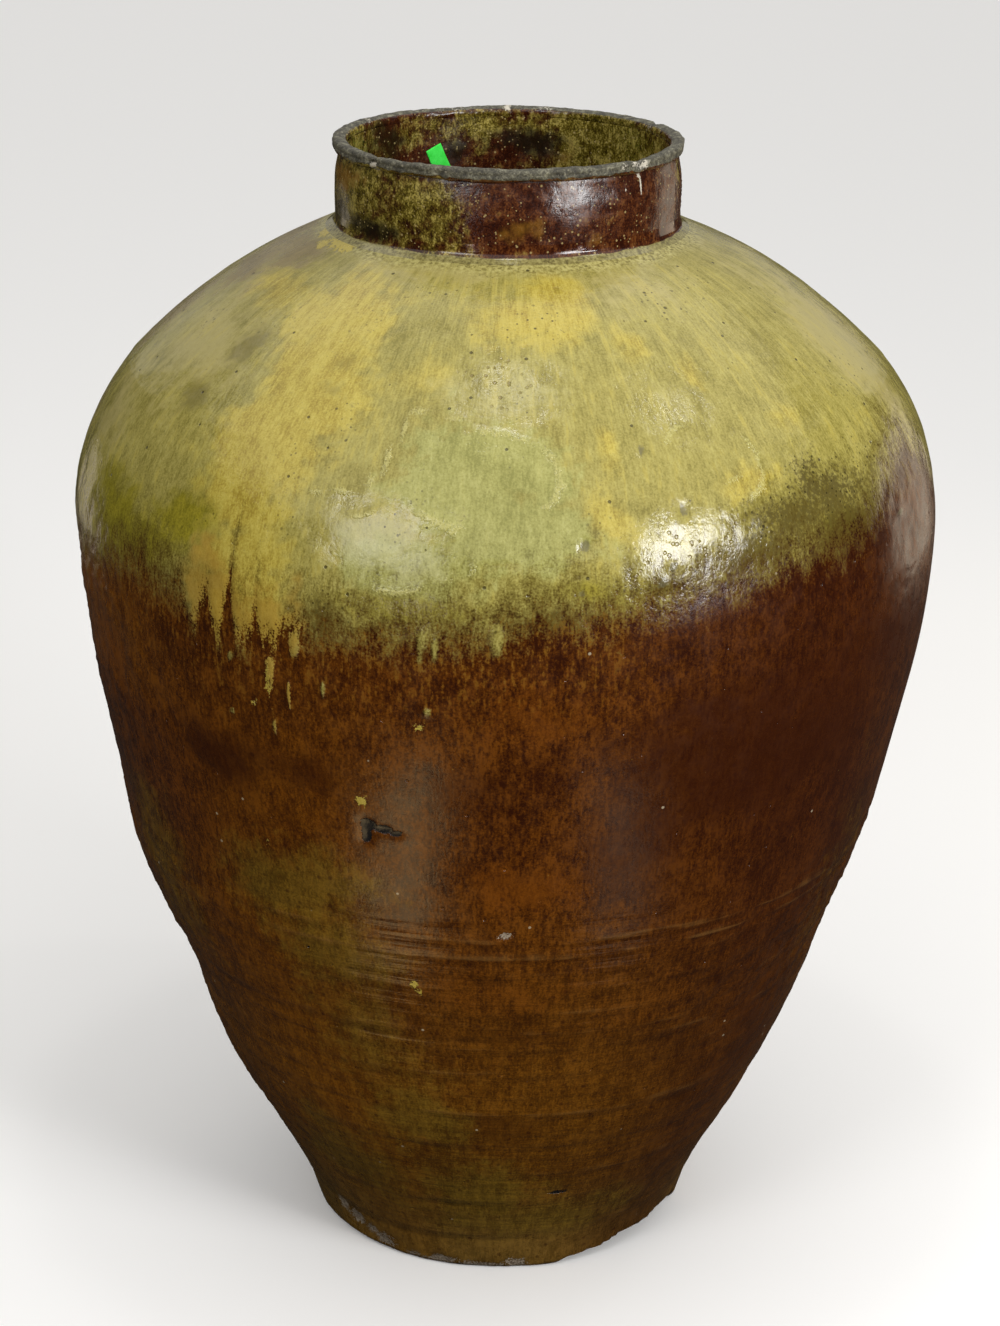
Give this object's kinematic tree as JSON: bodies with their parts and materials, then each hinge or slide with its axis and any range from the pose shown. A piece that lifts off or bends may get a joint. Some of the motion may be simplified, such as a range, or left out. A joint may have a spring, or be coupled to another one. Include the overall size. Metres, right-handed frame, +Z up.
{
  "type": "martaban jar",
  "caption": "Tall stoneware storage jar with a flat base, tapering ringed wall, broad ash-glazed shoulder, short neck and rolled bare lip, for keeping water, oil or grain.",
  "frame": {"origin": "centre of the base, on the surface that the jar stands on", "axes": "+Z up along the jar's axis, -Y towards the viewer of the picture, +X to their right"},
  "size_m": [0.5708, 0.5708, 0.76],
  "materials": {
    "brown_glaze": "glossy treacle-brown glaze with fine runs and specks",
    "ash_glaze": "runny yellow-green ash glaze over brown",
    "neck_glaze": "dark maroon-brown glaze, olive on one side",
    "bare_lip": "bare weathered grey stoneware with pale chips",
    "raw_clay": "unglazed fired clay",
    "green_paper": "fluorescent green paper label, blank"
  },
  "bodies": {
    "root": {"base_disc": "brown_glaze", "base_coil": "raw_clay", "lower_wall": "brown_glaze", "lower_seam_coil": "raw_clay", "belly_wall": "brown_glaze", "belly_seam_coil": "raw_clay", "shoulder": "ash_glaze", "neck_seam_coil": "neck_glaze", "neck_collar": "neck_glaze", "rolled_lip": "bare_lip", "price_label": "green_paper"}
  },
  "joints": []
}
